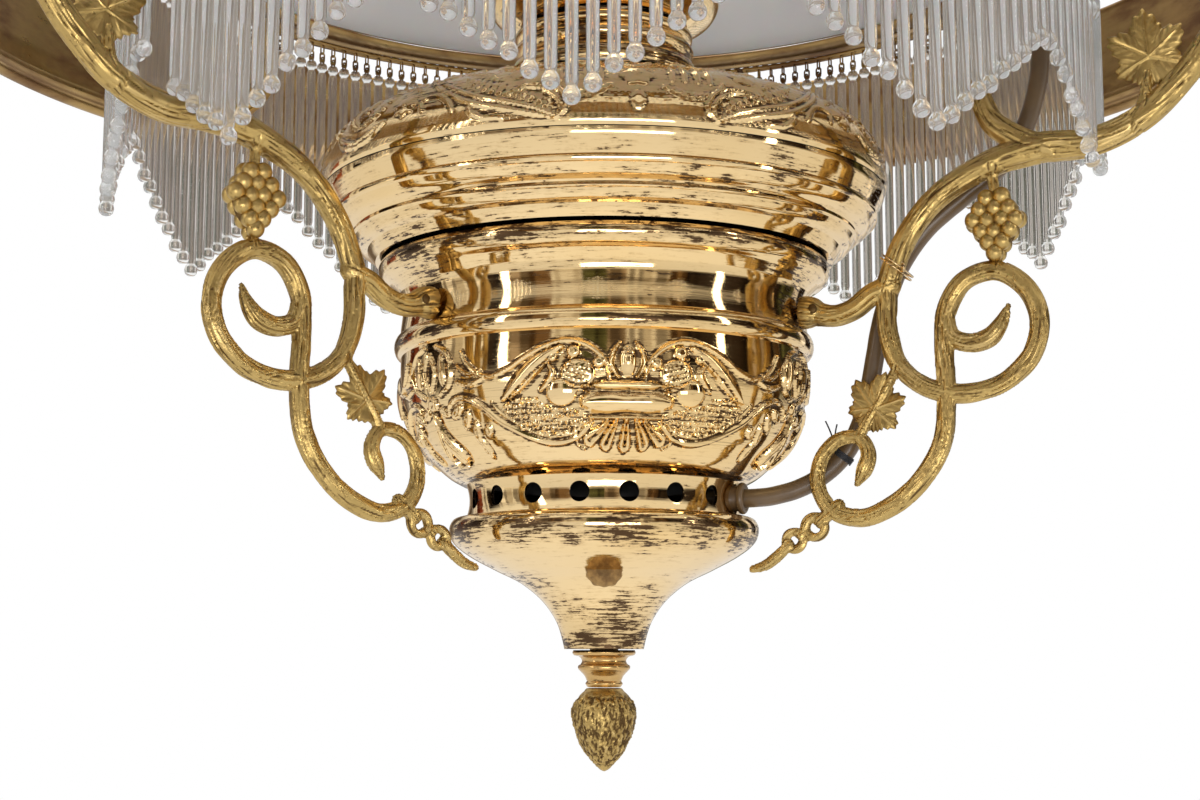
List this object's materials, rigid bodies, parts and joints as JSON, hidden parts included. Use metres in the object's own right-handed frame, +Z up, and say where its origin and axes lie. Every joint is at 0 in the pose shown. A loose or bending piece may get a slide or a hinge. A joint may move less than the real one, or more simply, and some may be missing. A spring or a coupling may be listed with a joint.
{
  "type": "hanging oil lamp",
  "caption": "Hanging brass oil lamp, wired for a bulb: embossed font and vase on cast vine arms, under a ring with an opal shade and a fringe of glass rods.",
  "frame": {"origin": "middle of the ceiling plate's flat top face, where the lamp is fixed to the ceiling", "axes": "+Z up out of the ceiling plate; the lamp hangs down along -Z; +Y is the rear, so the left and right vine arms face the front"},
  "size_m": [0.4932, 0.4942, 0.7382],
  "materials": {
    "polished_brass": "polished, with dark tarnish streaks",
    "cast_brass": "cast, satin, brown in the hollows",
    "dull_brass": "unpolished, brown",
    "clear_glass": "clear, fire polished",
    "opal_glass": "white opal, glossy",
    "braid": "twisted cord",
    "cable": "brown, satin",
    "insulator": "glazed",
    "thread": "black thread",
    "steel": "satin"
  },
  "bodies": {
    "ceiling": {"ceiling_plate": "steel", "canopy": "polished_brass", "ceiling_hook": "steel", "ceiling_cable": "cable", "plate_screw_1": "steel", "plate_screw_2": "steel"},
    "hanging_link": {"hanging_link": "polished_brass", "link_cable": "cable"},
    "lamp": {"crown": "polished_brass", "crown_eye": "polished_brass", "crown_nut": "dull_brass", "chain_1": "polished_brass", "chain_2": "polished_brass", "chain_3": "polished_brass", "ring_eye_1": "polished_brass", "ring_eye_2": "polished_brass", "ring_eye_3": "polished_brass", "outer_ring": "dull_brass", "shade_carrier": "dull_brass", "braid_trim": "braid", "vine_arm_left": "cast_brass", "vine_arm_right": "cast_brass", "vine_arm_rear": "cast_brass", "arm_screw_1": "steel", "arm_screw_2": "steel", "arm_screw_3": "steel", "vase_shell": "polished_brass", "air_gallery": "polished_brass", "funnel": "polished_brass", "funnel_plug": "dull_brass", "finial_collar": "polished_brass", "finial_acorn": "cast_brass", "centre_tube": "dull_brass", "tube_nut": "dull_brass", "cable_grommet": "insulator", "supply_cable": "cable", "tie_wire": "polished_brass", "tie_thread": "thread"},
    "font": {"font_top": "polished_brass", "font_bottom": "polished_brass", "font_neck": "polished_brass", "burner_cup": "dull_brass", "holder_stem": "dull_brass", "lampholder": "dull_brass", "holder_insulator": "insulator"},
    "bulb": {"bulb_cap": "steel", "bulb_glass": "clear_glass"},
    "shade": {"opal_shade": "opal_glass"},
    "fringe_01": {"fringe_01": "clear_glass"},
    "fringe_02": {"fringe_02": "clear_glass"},
    "fringe_03": {"fringe_03": "clear_glass"},
    "fringe_04": {"fringe_04": "clear_glass"},
    "fringe_05": {"fringe_05": "clear_glass"},
    "fringe_06": {"fringe_06": "clear_glass"},
    "fringe_07": {"fringe_07": "clear_glass"},
    "fringe_08": {"fringe_08": "clear_glass"},
    "fringe_09": {"fringe_09": "clear_glass"},
    "fringe_10": {"fringe_10": "clear_glass"}
  },
  "joints": [
    {"name": "link_swing", "type": "hinge", "parent": "ceiling", "child": "hanging_link", "pos_m": [0, 0, -0.059], "axis": [0, 1, 0], "range_deg": [-8, 8]},
    {"name": "lamp_swing", "type": "hinge", "parent": "hanging_link", "child": "lamp", "pos_m": [0, 0, -0.09], "axis": [1, 0, 0], "range_deg": [-8, 8]},
    {"name": "font_lift", "type": "slide", "parent": "lamp", "child": "font", "axis": [0, 0, 1], "range_m": [0, 0.045]},
    {"name": "bulb_turn", "type": "hinge", "parent": "font", "child": "bulb", "pos_m": [0, 0, -0.428], "axis": [0, 0, 1], "continuous": true},
    {"name": "shade_lift", "type": "slide", "parent": "lamp", "child": "shade", "axis": [0, 0, 1], "range_m": [0, 0.06]},
    {"name": "fringe_01_swing", "type": "hinge", "parent": "lamp", "child": "fringe_01", "pos_m": [0.16179, 0.04335, -0.4395], "axis": [0.2588, -0.9659, 0], "range_deg": [0, 6]},
    {"name": "fringe_02_swing", "type": "hinge", "parent": "lamp", "child": "fringe_02", "pos_m": [0.10541, 0.13017, -0.4395], "axis": [0.7771, -0.6293, 0], "range_deg": [0, 6]},
    {"name": "fringe_03_swing", "type": "hinge", "parent": "lamp", "child": "fringe_03", "pos_m": [0.00877, 0.16727, -0.4395], "axis": [0.9986, -0.0523, 0], "range_deg": [0, 6]},
    {"name": "fringe_04_swing", "type": "hinge", "parent": "lamp", "child": "fringe_04", "pos_m": [-0.09123, 0.14048, -0.4395], "axis": [0.8387, 0.5446, 0], "range_deg": [0, 6]},
    {"name": "fringe_05_swing", "type": "hinge", "parent": "lamp", "child": "fringe_05", "pos_m": [-0.15637, 0.06003, -0.4395], "axis": [0.3584, 0.9336, 0], "range_deg": [0, 6]},
    {"name": "fringe_06_swing", "type": "hinge", "parent": "lamp", "child": "fringe_06", "pos_m": [-0.16179, -0.04335, -0.4395], "axis": [-0.2588, 0.9659, 0], "range_deg": [0, 6]},
    {"name": "fringe_07_swing", "type": "hinge", "parent": "lamp", "child": "fringe_07", "pos_m": [-0.10541, -0.13017, -0.4395], "axis": [-0.7771, 0.6293, 0], "range_deg": [0, 6]},
    {"name": "fringe_08_swing", "type": "hinge", "parent": "lamp", "child": "fringe_08", "pos_m": [-0.00877, -0.16727, -0.4395], "axis": [-0.9986, 0.0523, 0], "range_deg": [0, 6]},
    {"name": "fringe_09_swing", "type": "hinge", "parent": "lamp", "child": "fringe_09", "pos_m": [0.09123, -0.14048, -0.4395], "axis": [-0.8387, -0.5446, 0], "range_deg": [0, 6]},
    {"name": "fringe_10_swing", "type": "hinge", "parent": "lamp", "child": "fringe_10", "pos_m": [0.15637, -0.06003, -0.4395], "axis": [-0.3584, -0.9336, 0], "range_deg": [0, 6]}
  ]
}
